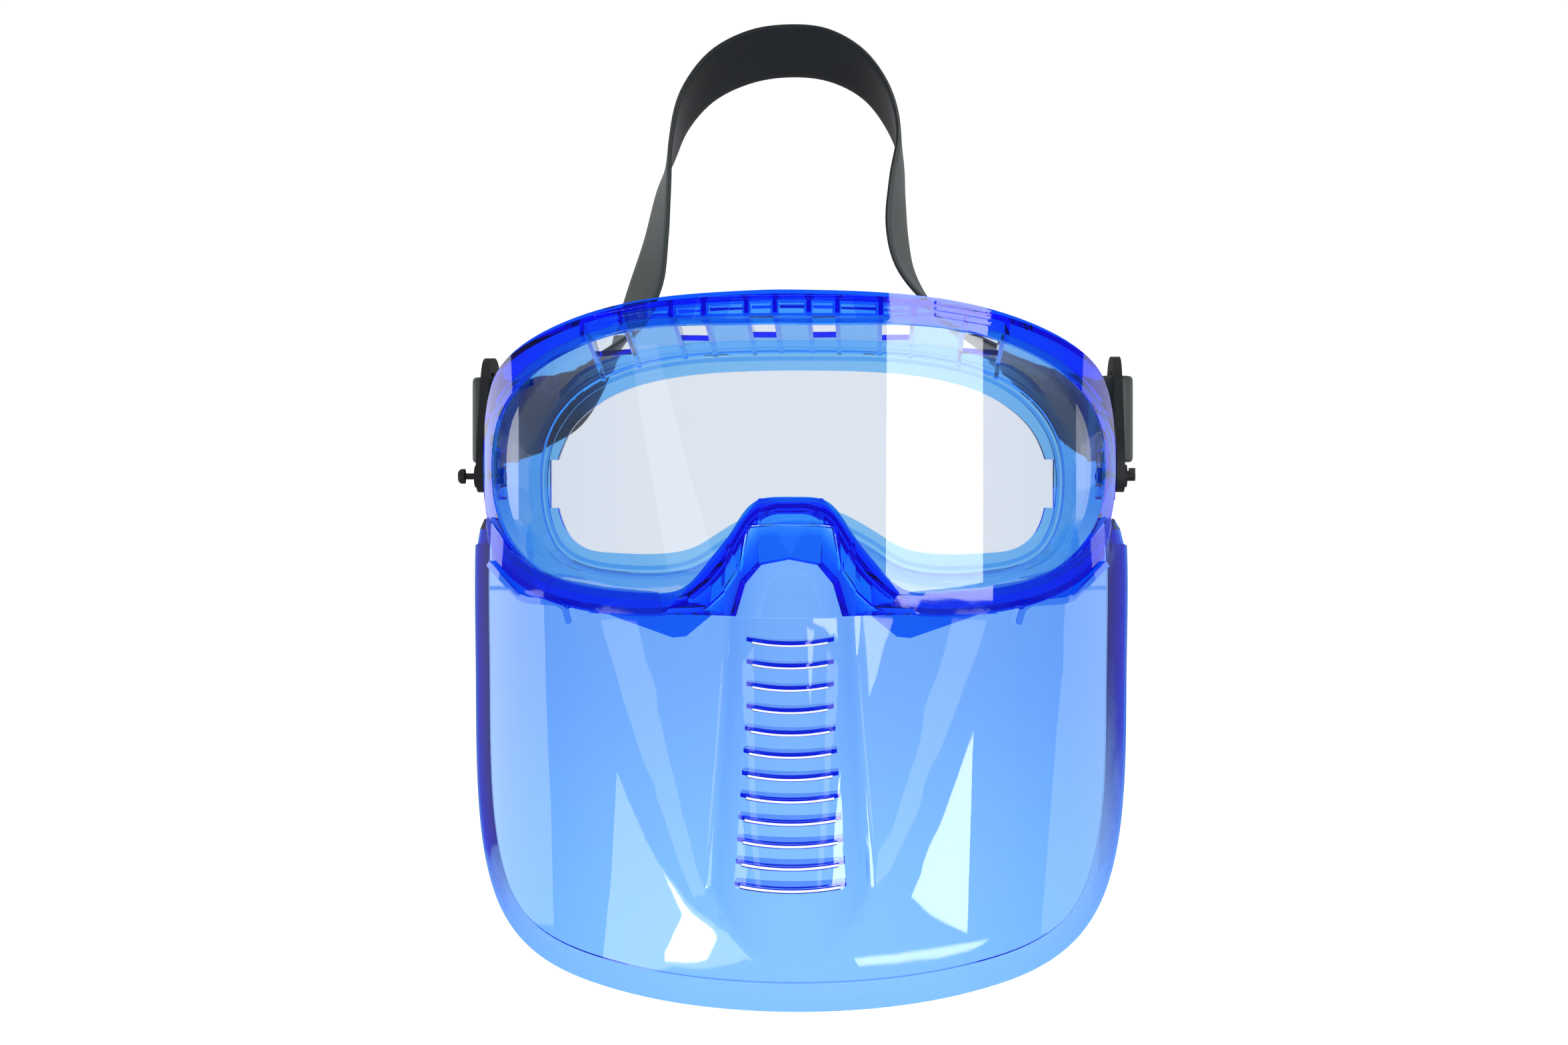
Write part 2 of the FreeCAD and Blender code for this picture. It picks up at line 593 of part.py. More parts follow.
def make_shield():
    face = smooth_prism(inset_outline(SHIELD_OUTLINE, FLARE_WIDE))
    inner_r = SHIELD_OUTER_R - SHIELD_THICK
    outer = ring(SHIELD_OUTER_R, inner_r - 8, FRONT_AXIS_Y)
    inner = ring(inner_r, inner_r - 12, FRONT_AXIS_Y)
    blend = KEEL_BLEND
    outer = blend_keel(outer.fuse(make_keel(0.0)), SHIELD_OUTER_R, blend)
    inner = blend_keel(inner.fuse(make_keel(SHIELD_THICK)), inner_r, blend + SHIELD_THICK)
    shell = outer.cut(inner).common(face).fuse(make_lip())
    rim_room = ring(RIM_FRONT_R + RIM_ROOM, RIM_REAR_R, FRONT_AXIS_Y)
    rim_room = rim_room.common(smooth_prism(shifted(RIM_OUTER, OPENING, -RIM_ROOM)))
    shell = shell.cut(rim_room)
    above = SHIELD_TOP + [(95, 30), (0, 30)]
    trim = flat_prism(above)
    shell = shell.cut([trim, mirror_x(trim)])
    rear = [SHIELD_REAR_TOP, SHIELD_REAR_LOW, (60, SHIELD_REAR_LOW[1]), (60, 20),
            (SHIELD_REAR_TOP[0], 20)]
    shell = shell.cut(side_prism(rear, -120, 120))
    shell = shell.cut([slot_cut(index) for index in range(SLOT_COUNT)])
    ridge = make_keel(SHIELD_THICK / 2)
    ridge_behind = make_keel(SHIELD_THICK + BLADE_GAP)
    shell = shell.multiFuse([splash_blade(index, ridge, ridge_behind)
                             for index in range(SLOT_COUNT)])
    band = ring(SHIELD_OUTER_R + BEAD_PROUD, SHIELD_OUTER_R - 1.0, FRONT_AXIS_Y)
    bead = band.common(thick_path(BEAD, BEAD_WIDE))
    mark = ejector_mark()
    return shell.multiFuse([bead, mirror_x(bead), mark, mirror_x(mark)])


# ---------------------------------------------------------------- strap brackets
def make_bracket(hole_r):
    """Right-hand bracket; the left one is its mirror image with its own hole."""
    points = [V(PLATE_IN, y, z) for y, z in BRACKET]
    plate = Part.Face(Part.Wire(smooth_loop(points))).extrude(V(PLATE_OUT - PLATE_IN, 0, 0))
    for y in (SLOT_FRONT_Y, SLOT_REAR_Y):
        plate = plate.cut(box(PLATE_IN - 1, PLATE_OUT + 1, y, y + STRAP_SLOT_WIDE,
                              STRAP_SLOT_LOW, STRAP_SLOT_HIGH))
    low = STRAP_SLOT_LOW - 1
    high = STRAP_SLOT_HIGH + 1
    foot_x = PLATE_OUT - 0.6
    bars = []
    for y in (SLOT_FRONT_Y + STRAP_SLOT_WIDE, SLOT_REAR_Y + STRAP_SLOT_WIDE):
        arc = Part.Arc(V(foot_x, y, low), V(PLATE_OUT + BAR_BOW, y, (low + high) / 2),
                       V(foot_x, y, high)).toShape()
        chord = Part.makeLine(V(foot_x, y, high), V(foot_x, y, low))
        bars.append(Part.Face(Part.Wire([arc, chord])).extrude(V(0, BAR_WIDE, 0)))
    boss = rod_x(BOSS_R, PLATE_IN + 0.4, PLATE_OUT + 0.8)
    body = plate.multiFuse(bars + [boss])
    return body.cut(rod_x(hole_r, PLATE_IN - 1, PLATE_OUT + 3))


# ---------------------------------------------------------------- pins
def make_rivet():
    """Mushroom rivet through the wearer's right (-X) lug."""
    head = rod_x(RIVET_HEAD_R, -RIVET_END_X, -RIVET_END_X + RIVET_HEAD_THICK)
    outer_edge = [e for e in head.Edges if abs(e.BoundBox.XMax + RIVET_END_X) < 0.01]
    head = head.makeFillet(1.2, outer_edge)
    shaft = rod_x(RIVET_R, -RIVET_END_X + RIVET_HEAD_THICK - 0.5, -LUG_IN)
    return head.fuse(shaft)


def make_hook_pin():
    shaft = rod_x(PIN_R, LUG_IN, PIN_END_X)
    hook = box(PIN_END_X - PIN_HOOK_LONG, PIN_END_X, PIVOT_Y - 1.2, PIVOT_Y + 1.2,
               PIVOT_Z, PIVOT_Z + PIN_R + PIN_HOOK_RISE)
    return shaft.fuse(hook)


def make_cap(side):
    return rod_x(CAP_R, side * LUG_IN, side * (LUG_IN - CAP_THICK))


# ---------------------------------------------------------------- strap
# Each station is (near edge, far edge) of the band.  The near edge is the upper
# edge beside the temple and the front edge over the head.
STRAP_ARCH = [
    ((-87.4, 48.5, 26.0), (-86.6, 51, 1.6)),
    ((-81.0, 49.5, 27.4), (-78.4, 59, 5.6)),
    ((-71.0, 47, 29.0), (-69.0, 66, 12.8)),
    ((-58.5, 47, 35.0), (-62.0, 70, 25.8)),
    ((-48.0, 47.5, 43.0), (-59.2, 70, 39.6)),
    ((-42.4, 48, 54.0), (-54.8, 70, 54.5)),
    ((-40.8, 48, 68.0), (-49.6, 71, 70.0)),
    ((-40.2, 48, 83.0), (-45.2, 71, 86.0)),
    ((-39.6, 47.5, 98.0), (-41.2, 70, 94.0)),
    ((-36.4, 46.5, 112.0), (-36.6, 68, 103.4)),
    ((-28.0, 45.5, 123.4), (-28.2, 65, 112.0)),
    ((-16.4, 45, 129.6), (-16.8, 63.5, 117.2)),
    ((-4.0, 45, 131.4), (-4.6, 63, 119.0)),
    ((7.6, 45, 130.0), (7.6, 63, 117.6)),
    ((18.4, 45.5, 123.6), (18.0, 64, 112.4)),
    ((25.8, 46.5, 112.8), (25.4, 66.5, 103.6)),
    ((28.6, 47.5, 100.0), (29.4, 70, 94.6)),
    ((26.4, 48, 86.6), (30.4, 71, 82.0)),
    ((25.2, 48, 72.0), (31.4, 71, 70.0)),
    ((28.0, 48, 60.0), (33.4, 71, 59.6)),
    ((36.0, 47.5, 49.6), (39.0, 71, 49.4)),
    ((48.0, 47, 40.6), (49.0, 71, 40.0)),
    ((61.0, 47, 34.2), (60.6, 70, 31.2)),
    ((72.0, 47, 30.2), (70.6, 68, 20.4)),
    ((81.4, 48.5, 27.8), (79.8, 60, 7.4)),
    ((87.4, 48.5, 26.2), (86.8, 51.5, 1.8)),
]


def open_curve(points, spacing):
    curve = Part.BSplineCurve()
    curve.interpolate(Points=points, Parameters=spacing)
    return curve.toShape()


def ribbon(stations, thick):
    """Band with the given edges; thickness is measured across the band's face."""
    near = [V(*n) for n, f in stations]
    far = [V(*f) for n, f in stations]
    corners = [[], [], [], []]
    for i in range(len(near)):
        before = max(0, i - 1)
        after = min(len(near) - 1, i + 1)
        middle_before = (near[before] + far[before]) * 0.5
        middle_after = (near[after] + far[after]) * 0.5
        along = (middle_after - middle_before).normalize()
        across = (far[i] - near[i]).normalize()
        normal = along.cross(across).normalize() * (thick / 2)
        corners[0].append(near[i] + normal)
        corners[1].append(far[i] + normal)
        corners[2].append(far[i] - normal)
        corners[3].append(near[i] - normal)
    spacing = [0.0]
    for i in range(1, len(near)):
        step = (near[i] + far[i] - near[i - 1] - far[i - 1]).Length / 2
        spacing.append(spacing[-1] + step)
    edges = [open_curve(points, spacing) for points in corners]
    faces = []
    for index in range(4):
        faces.append(Part.makeRuledSurface(edges[index], edges[(index + 1) % 4]))
    for end in (0, -1):
        loop = [c[end] for c in corners]
        loop.append(loop[0])
        first = Part.makeRuledSurface(Part.makeLine(loop[0], loop[1]),
                                      Part.makeLine(loop[3], loop[2]))
        faces.append(first)
    shell = Part.makeShell(faces)
    shell.sewShape()
    solid = Part.makeSolid(shell)
    if solid.Volume < 0:
        solid.reverse()
    return solid


def weave(side):
    return [((side * x, y, STRAP_HIGH), (side * x, y, STRAP_LOW)) for x, y in WEAVE]


def make_strap():
    stations = weave(-1) + STRAP_ARCH + list(reversed(weave(1)))
    return ribbon(stations, STRAP_THICK)


# ---------------------------------------------------------------- write everything
save("goggle_frame", make_frame())
save("lens", make_lens())
save("face_shield", make_shield())
save("strap_bracket_right", make_bracket(PIN_R + RUN_FIT))
save("strap_bracket_left", mirror_x(make_bracket(RIVET_R + RUN_FIT)))
save("mushroom_rivet", make_rivet())
save("rivet_cap", make_cap(-1))
save("hook_pin", make_hook_pin())
save("hook_pin_cap", make_cap(1))
save("head_strap", make_strap())
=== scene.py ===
import json
import math

import bpy
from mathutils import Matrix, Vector


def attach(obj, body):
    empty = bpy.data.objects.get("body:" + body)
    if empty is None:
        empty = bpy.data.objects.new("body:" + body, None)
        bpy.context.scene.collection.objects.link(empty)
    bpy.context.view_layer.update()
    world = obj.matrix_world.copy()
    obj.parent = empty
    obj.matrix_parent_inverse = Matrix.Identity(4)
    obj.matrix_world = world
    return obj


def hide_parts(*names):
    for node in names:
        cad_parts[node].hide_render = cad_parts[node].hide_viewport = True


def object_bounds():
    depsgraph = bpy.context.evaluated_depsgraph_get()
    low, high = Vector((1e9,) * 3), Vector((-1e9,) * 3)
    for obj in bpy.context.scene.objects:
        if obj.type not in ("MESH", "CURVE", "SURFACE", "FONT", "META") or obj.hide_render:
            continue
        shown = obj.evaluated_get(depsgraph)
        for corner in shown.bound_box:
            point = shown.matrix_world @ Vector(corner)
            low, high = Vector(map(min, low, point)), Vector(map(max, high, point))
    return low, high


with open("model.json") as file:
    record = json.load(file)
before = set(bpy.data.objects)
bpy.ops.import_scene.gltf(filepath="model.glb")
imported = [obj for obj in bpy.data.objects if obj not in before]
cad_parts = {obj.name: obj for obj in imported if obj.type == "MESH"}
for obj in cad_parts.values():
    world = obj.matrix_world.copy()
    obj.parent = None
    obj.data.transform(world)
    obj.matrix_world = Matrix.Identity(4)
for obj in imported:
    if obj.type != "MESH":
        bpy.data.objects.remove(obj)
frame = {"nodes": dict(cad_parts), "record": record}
cad_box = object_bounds()
nodes = frame["nodes"]
MM = 0.001


# ---------------------------------------------------------------- camera
CAMERA_AZIMUTH = math.radians(2.3)
CAMERA_DISTANCE = 0.665
CAMERA_TARGET = Vector((-0.0026, -0.0285, -0.0173))
SENSOR = 36.0
FOCAL_IN_WIDTHS = 3710.0 / 2352.0        # focal length, in widths of the picture
CLIP_START = 0.01


def make_camera():
    """Level camera in front of the goggles, a little to their +X side."""
    data = bpy.data.cameras.new("camera")
    data.sensor_width = SENSOR
    data.lens = FOCAL_IN_WIDTHS * SENSOR
    data.clip_start = CLIP_START
    camera = bpy.data.objects.new("camera", data)
    bpy.context.collection.objects.link(camera)
    back = Vector((math.sin(CAMERA_AZIMUTH), -math.cos(CAMERA_AZIMUTH), 0.0))
    camera.location = CAMERA_TARGET + back * CAMERA_DISTANCE
    camera.rotation_euler = (math.radians(90.0), 0.0, CAMERA_AZIMUTH)
    bpy.context.scene.camera = camera
    return camera


camera = make_camera()
EYE = camera.location.copy()


# ---------------------------------------------------------------- material helpers
def new_material(name):
    """A material with its node tree, its main shader and its output node."""
    material = bpy.data.materials.new(name)
    material.use_nodes = True
    tree = material.node_tree
    shader = tree.nodes["Principled BSDF"]
    output = tree.nodes["Material Output"]
    return material, tree, shader, output


def object_noise(tree, scale, detail=3.0, stretch=(1.0, 1.0, 1.0)):
    """Noise in object space, in metres, optionally stretched."""
    place = tree.nodes.new("ShaderNodeTexCoord")
    mapping = tree.nodes.new("ShaderNodeMapping")
    mapping.inputs["Scale"].default_value = stretch
    noise = tree.nodes.new("ShaderNodeTexNoise")
    noise.inputs["Scale"].default_value = scale
    noise.inputs["Detail"].default_value = detail
    tree.links.new(place.outputs["Object"], mapping.inputs["Vector"])
    tree.links.new(mapping.outputs["Vector"], noise.inputs["Vector"])
    return noise


def spread(tree, source, low, high):
    """Map a 0..1 value onto low..high."""
    span = tree.nodes.new("ShaderNodeMapRange")
    span.inputs["To Min"].default_value = low
    span.inputs["To Max"].default_value = high
    tree.links.new(source, span.inputs["Value"])
    return span.outputs["Result"]


def add_bump(tree, shader, height, strength, distance):
    """Let a height field, in metres at most distance, tilt the shader's normal."""
    bump = tree.nodes.new("ShaderNodeBump")
    bump.inputs["Strength"].default_value = strength
    bump.inputs["Distance"].default_value = distance
    tree.links.new(height, bump.inputs["Height"])
    tree.links.new(bump.outputs["Normal"], shader.inputs["Normal"])


def clear_plastic(name, base, absorb, density, roughness, ior, ripple):
    """Tinted clear moulding: colour comes from the depth of plastic light crosses."""
    material, tree, shader, output = new_material(name)
    shader.inputs["Base Color"].default_value = (*base, 1.0)
    shader.inputs["Transmission Weight"].default_value = 1.0
    shader.inputs["IOR"].default_value = ior
    volume = tree.nodes.new("ShaderNodeVolumeAbsorption")
    volume.inputs["Color"].default_value = (*absorb, 1.0)
    volume.inputs["Density"].default_value = density
    tree.links.new(volume.outputs["Volume"], output.inputs["Volume"])
    flow = object_noise(tree, scale=22.0, detail=2.0)
    tree.links.new(spread(tree, flow.outputs["Fac"], roughness * 0.5, roughness * 1.5),
                   shader.inputs["Roughness"])
    wave = object_noise(tree, scale=55.0, detail=1.0)
    add_bump(tree, shader, wave.outputs["Fac"], strength=ripple, distance=0.6 * MM)
    return material


def black_moulding(name):
    """Black plastic with a fine grain and slightly uneven gloss."""
    material, tree, shader, output = new_material(name)
    shader.inputs["IOR"].default_value = 1.5
    patch = object_noise(tree, scale=90.0, detail=4.0)
    ramp = tree.nodes.new("ShaderNodeValToRGB")
    ramp.color_ramp.elements[0].color = (0.006, 0.007, 0.008, 1.0)
    ramp.color_ramp.elements[1].color = (0.018, 0.020, 0.022, 1.0)
    tree.links.new(patch.outputs["Fac"], ramp.inputs["Fac"])
    tree.links.new(ramp.outputs["Color"], shader.inputs["Base Color"])
    tree.links.new(spread(tree, patch.outputs["Fac"], 0.30, 0.48), shader.inputs["Roughness"])
    grain = object_noise(tree, scale=2600.0, detail=2.0)
    add_bump(tree, shader, grain.outputs["Fac"], strength=0.25, distance=0.06 * MM)
    return material


RIB_STRETCH = (400.0, 25.0, 1.0)
RIB_SCALE = 1.3


def strap_rubber(name, dark, pale):
    """Elastic band with fine cross ribs along the UV's length."""
    material, tree, shader, output = new_material(name)
    uv = tree.nodes.new("ShaderNodeTexCoord")
    patch = object_noise(tree, scale=60.0, detail=4.0)
    ramp = tree.nodes.new("ShaderNodeValToRGB")
    ramp.color_ramp.elements[0].color = (*dark, 1.0)
    ramp.color_ramp.elements[1].color = (*pale, 1.0)
    tree.links.new(patch.outputs["Fac"], ramp.inputs["Fac"])
    tree.links.new(ramp.outputs["Color"], shader.inputs["Base Color"])
    ribs = tree.nodes.new("ShaderNodeTexWave")
    ribs.wave_type = "BANDS"
    ribs.bands_direction = "X"
    ribs.inputs["Scale"].default_value = RIB_SCALE
    ribs.inputs["Distortion"].default_value = 0.6
    ribs.inputs["Detail"].default_value = 1.0
    scale = tree.nodes.new("ShaderNodeMapping")
    scale.inputs["Scale"].default_value = RIB_STRETCH
    tree.links.new(uv.outputs["UV"], scale.inputs["Vector"])
    tree.links.new(scale.outputs["Vector"], ribs.inputs["Vector"])
    tree.links.new(spread(tree, ribs.outputs["Fac"], 0.50, 0.62), shader.inputs["Roughness"])
    add_bump(tree, shader, ribs.outputs["Fac"], strength=0.06, distance=0.03 * MM)
    shader.inputs["Sheen Weight"].default_value = 0.15
    shader.inputs["Sheen Roughness"].default_value = 0.4
    return material


WHITE = (1.0, 1.0, 1.0)
FRAME_BLUE = clear_plastic("frame_blue", WHITE, absorb=(0.0, 0.64, 0.987), density=900.0,
                           roughness=0.03, ior=1.40, ripple=0.05)
SHIELD_BLUE = clear_plastic("shield_blue", WHITE, absorb=(0.0, 0.48, 0.95), density=865.0,
                            roughness=0.02, ior=1.40, ripple=0.03)
LENS_CLEAR = clear_plastic("lens_clear", WHITE, absorb=(0.03, 0.25, 0.52), density=190.0,
                           roughness=0.01, ior=1.45, ripple=0.01)
CAP_BLUE = clear_plastic("blue_cap", (0.5, 0.6, 1.0), absorb=(0.0, 0.30, 0.85),
                         density=1600.0, roughness=0.05, ior=1.45, ripple=0.02)
BLACK = black_moulding("black_moulding")
STRAP = strap_rubber("strap_rubber", (0.020, 0.029, 0.029), (0.036, 0.047, 0.046))
# Darker copy of the strap rubber for the band's inner face: painted shade on the inside of the
# loop.
STRAP_SHADED_INSIDE = strap_rubber("strap_rubber_inside_painted_shade", (0.006, 0.008, 0.009), (0.011, 0.014, 0.016))


def dress(name, material):
    """Put a material on a CAD node."""
    target = nodes[name]
    for slot in target.material_slots:
        slot.material = material


dress("goggle_frame", FRAME_BLUE)
dress("face_shield", SHIELD_BLUE)
dress("lens", LENS_CLEAR)
for name in ("rivet_cap", "hook_pin_cap"):
    dress(name, CAP_BLUE)
for name in ("strap_bracket_left", "strap_bracket_right", "mushroom_rivet", "hook_pin"):
    dress(name, BLACK)


# ---------------------------------------------------------------- head strap
STRAP_THICK = 1.6 * MM
STRAP_LOW = 0.3              # lower and upper edges in the brackets, z in millimetres
STRAP_HIGH = 25.3
# Path of the woven end in the bracket, seen from above, as (x, y) in millimetres.
WEAVE = [(86.7, 43.0), (86.7, 38.0), (86.8, 33.0), (87.1, 29.4), (88.0, 27.4),
         (89.8, 26.9), (92.0, 27.1), (94.4, 28.0), (95.7, 29.8), (95.9, 31.4),
         (95.6, 33.2), (94.2, 34.8), (92.0, 35.6), (90.2, 36.5), (89.2, 38.4),
         (89.0, 41.0), (89.0, 44.0)]
# The band's two edges from -X to +X, in millimetres. The first is its upper edge at the
# brackets and its front edge over the loop, and the second is the lower and rear edge.
ARCH = [
    ((-87.4, 48.5, 26.0), (-86.6, 51, 1.6)),
    ((-81.0, 49.5, 27.4), (-78.4, 59, 5.6)),
    ((-71.0, 47, 29.0), (-69.0, 66, 12.8)),
    ((-58.5, 47, 35.0), (-62.0, 70, 25.8)),
    ((-48.0, 47.5, 43.0), (-59.2, 70, 39.6)),
    ((-42.4, 48, 54.0), (-54.8, 70, 54.5)),
    ((-40.8, 48, 68.0), (-49.6, 71, 70.0)),
    ((-40.2, 48, 83.0), (-45.2, 71, 86.0)),
    ((-39.6, 47.5, 98.0), (-41.2, 70, 94.0)),
    ((-36.4, 46.5, 112.0), (-36.6, 68, 103.4)),
    ((-28.0, 45.5, 123.4), (-28.2, 65, 112.0)),
    ((-16.4, 45, 129.6), (-16.8, 63.5, 117.2)),
    ((-4.0, 45, 131.4), (-4.6, 63, 119.0)),
    ((7.6, 45, 130.0), (7.6, 63, 117.6)),
    ((18.4, 45.5, 123.6), (18.0, 64, 112.4)),
    ((25.8, 46.5, 112.8), (25.4, 66.5, 103.6)),
    ((28.6, 47.5, 100.0), (29.4, 70, 94.6)),
    ((26.4, 48, 86.6), (30.4, 71, 82.0)),
    ((25.2, 48, 72.0), (31.4, 71, 70.0)),
    ((28.0, 48, 60.0), (33.4, 71, 59.6)),
    ((36.0, 47.5, 49.6), (39.0, 71, 49.4)),
    ((48.0, 47, 40.6), (49.0, 71, 40.0)),
    ((61.0, 47, 34.2), (60.6, 70, 31.2)),
    ((72.0, 47, 30.2), (70.6, 68, 20.4)),
    ((81.4, 48.5, 27.8), (79.8, 60, 7.4)),
    ((87.4, 48.5, 26.2), (86.8, 51.5, 1.8)),
]
STEPS_PER_STATION = 6
ACROSS = 10
# Rounded edge of the band: share of its width, and share of half its thickness.
EDGE_ROUND = [(0.0, 0.0), (0.012, 0.6), (0.04, 0.95)]


def weave(side):
    """Stations of one woven end; side is -1 or 1."""
    return [((side * x, y, STRAP_HIGH), (side * x, y, STRAP_LOW)) for x, y in WEAVE]


def smooth_points(points, steps):
    """Points along a centripetal curve through the given points."""
    padded = [points[0] * 2 - points[1]] + points + [points[-1] * 2 - points[-2]]
    result = []
    for i in range(1, len(padded) - 2):
        p0, p1, p2, p3 = padded[i - 1:i + 3]
        t0 = 0.0
        t1 = t0 + math.sqrt((p1 - p0).length)
        t2 = t1 + math.sqrt((p2 - p1).length)
        t3 = t2 + math.sqrt((p3 - p2).length)
        for step in range(steps):
            t = t1 + (t2 - t1) * step / steps
            a1 = p0.lerp(p1, (t - t0) / (t1 - t0))
            a2 = p1.lerp(p2, (t - t1) / (t2 - t1))
            a3 = p2.lerp(p3, (t - t2) / (t3 - t2))
            b1 = a1.lerp(a2, (t - t0) / (t2 - t0))
            b2 = a2.lerp(a3, (t - t1) / (t3 - t1))
            result.append(b1.lerp(b2, (t - t1) / (t2 - t1)))
    result.append(points[-1].copy())
    return result


def band_outer_side():
    """Points across the band's outer face, as (share of width, height)."""
    flat_from = EDGE_ROUND[-1][0]
    flat = 1.0 - 2.0 * flat_from
    across = list(EDGE_ROUND)
    across += [(flat_from + flat * k / ACROSS, 1.0) for k in range(1, ACROSS)]
    across += [(1.0 - s, h) for s, h in reversed(EDGE_ROUND)]
    return across


def band_vertices(near, far, section):
    """One copy of the section at each station, square to the band there."""
    vertices = []
    for i in range(len(near)):
        before = max(0, i - 1)
        after = min(len(near) - 1, i + 1)
        along = (near[after] + far[after] - near[before] - far[before]).normalized()
        width = far[i] - near[i]
        normal = along.cross(width).normalized()
        for s, h in section:
            vertices.append(near[i] + width * s + normal * (STRAP_THICK / 2 * h))
    return vertices


def band_lengths(near, far):
    """Length along the middle of the band, up to each station."""
    middle = [(n + f) / 2 for n, f in zip(near, far)]
    lengths = [0.0]
    for i in range(1, len(middle)):
        lengths.append(lengths[-1] + (middle[i] - middle[i - 1]).length)
    return lengths


def band_faces(section, lengths):
    """Faces of the band with their UVs: u in metres along it, v across it."""
    count = len(section)
    faces = []
    uvs = []
    for i in range(len(lengths) - 1):
        here = i * count
        there = here + count
        for k in range(count):
            k2 = (k + 1) % count
            faces.append((here + k, here + k2, there + k2, there + k))
            v0 = section[k][0]
            v1 = section[k2][0]
            uvs.append(((lengths[i], v0), (lengths[i], v1),
                        (lengths[i + 1], v1), (lengths[i + 1], v0)))
    last = (len(lengths) - 1) * count
    faces.append(tuple(reversed(range(count))))
    uvs.append(tuple((lengths[0], section[k][0]) for k in reversed(range(count))))
    faces.append(tuple(last + k for k in range(count)))
    uvs.append(tuple((lengths[-1], section[k][0]) for k in range(count)))
    return faces, uvs


def make_strap():
    """The elastic band, woven into both brackets; its inner face takes a darker copy of the
    rubber, as painted shade.
    """
    stations = weave(-1) + ARCH + list(reversed(weave(1)))
    near = smooth_points([Vector(n) * MM for n, f in stations], STEPS_PER_STATION)
    far = smooth_points([Vector(f) * MM for n, f in stations], STEPS_PER_STATION)
    outer_side = band_outer_side()
    section = outer_side + [(s, -h) for s, h in reversed(outer_side[1:-1])]
    faces, uvs = band_faces(section, band_lengths(near, far))
    mesh = bpy.data.meshes.new("head_strap_band")
    mesh.from_pydata(band_vertices(near, far, section), [], faces)
    layer = mesh.uv_layers.new(name="UVMap")
    for index, (polygon, corners) in enumerate(zip(mesh.polygons, uvs)):
        polygon.use_smooth = True
        # Faces on the inner side of the band take the darker rubber, the painted shade.
        polygon.material_index = int(index % len(section) >= len(outer_side))
        for loop, uv in zip(polygon.loop_indices, corners):
            layer.data[loop].uv = uv
    mesh.update()
    band = bpy.data.objects.new("head_strap_band", mesh)
    bpy.context.collection.objects.link(band)
    band.data.materials.append(STRAP)
    band.data.materials.append(STRAP_SHADED_INSIDE)
    return band


strap = make_strap()
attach(strap, "headband")
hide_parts("head_strap")


# ---------------------------------------------------------------- stage and light
FLOOR_REACH = 6.0
FLOOR_GAP = 0.001
SKY_SEEN = 1.08              # strength of the white surroundings
SKY_REFLECTED = 0.16         # their strength where an outer face reflects them


def make_floor():
    """Pale floor, low enough for the shield to be pulled all the way down."""
    slides = [joint["range_m"][1] for joint in frame["record"]["behaviour"]["joints"]
              if joint["type"] == "slide"]
    low = cad_box[0][2] - max(slides) - FLOOR_GAP
    mesh = bpy.data.meshes.new("floor")
    mesh.from_pydata([(-FLOOR_REACH, -FLOOR_REACH, low), (FLOOR_REACH, -FLOOR_REACH, low),
                      (FLOOR_REACH, FLOOR_REACH, low), (-FLOOR_REACH, FLOOR_REACH, low)],
                     [], [(0, 1, 2, 3)])
    floor = bpy.data.objects.new("floor", mesh)
    bpy.context.collection.objects.link(floor)
    material, tree, shader, output = new_material("floor_paper")
    shader.inputs["Base Color"].default_value = (0.985, 0.985, 0.985, 1.0)
    shader.inputs["Roughness"].default_value = 1.0
    shader.inputs["Specular IOR Level"].default_value = 0.0
    floor.data.materials.append(material)
    floor.visible_glossy = False


def make_world():
    """Even white surroundings, dimmed where an outer face reflects them."""
    world = bpy.data.worlds.new("studio")
    world.use_nodes = True
    tree = world.node_tree
    background = tree.nodes["Background"]
    background.inputs["Color"].default_value = (1.0, 1.0, 1.0, 1.0)
    path = tree.nodes.new("ShaderNodeLightPath")
    # Light seen through the clear plastic counts as glossy too, so only what is
    # reflected off an outer face, and has crossed no plastic, is dimmed.
    reflected_only = tree.nodes.new("ShaderNodeMath")
    reflected_only.operation = "SUBTRACT"
    reflected_only.use_clamp = True
    tree.links.new(path.outputs["Is Glossy Ray"], reflected_only.inputs[0])
    tree.links.new(path.outputs["Transmission Depth"], reflected_only.inputs[1])
    span = tree.nodes.new("ShaderNodeMapRange")
    span.inputs["To Min"].default_value = SKY_SEEN
    span.inputs["To Max"].default_value = SKY_REFLECTED
    tree.links.new(reflected_only.outputs["Value"], span.inputs["Value"])
    tree.links.new(span.outputs["Result"], background.inputs["Strength"])
    bpy.context.scene.world = world


def reflected(point, normal):
    """Direction in which the camera sees the surroundings at a shiny point."""
    toward = (EYE - point).normalized()
    return (normal * (2.0 * normal.dot(toward)) - toward).normalized()


FRONT_AXIS_Y = 54.0 * MM      # lens and shield are slices of cylinders about this axis
LENS_R = 100.0
SHIELD_R = 105.5
CARD_REACH = 1.1
CARD_STEPS = 8


def card_corner(x, z, radius):
    """Where a light card's corner goes to be reflected at (x, z) of a front cylinder."""
    x *= MM
    z *= MM
    radius *= MM
    y = FRONT_AXIS_Y - math.sqrt(radius * radius - x * x)
    point = Vector((x, y, z))
    normal = Vector((x, y - FRONT_AXIS_Y, 0.0)).normalized()
    return point + reflected(point, normal) * CARD_REACH


def card_outline(corners):
    """Corners of a card, with the first and third edges of a four-sided one divided."""
    if len(corners) != 4:
        return corners
    first, second, third, fourth = [Vector(corner) for corner in corners]
    steps = range(CARD_STEPS + 1)
    there = [first.lerp(second, k / CARD_STEPS) for k in steps]
    back = [third.lerp(fourth, k / CARD_STEPS) for k in steps]
    return [tuple(point) for point in there + back]


def card_faces(count):
    """One face for a plain outline, or a row of quads for a divided one."""
    if count != 2 * (CARD_STEPS + 1):
        return [tuple(range(count))]
    return [(k, k + 1, count - 2 - k, count - 1 - k) for k in range(CARD_STEPS)]


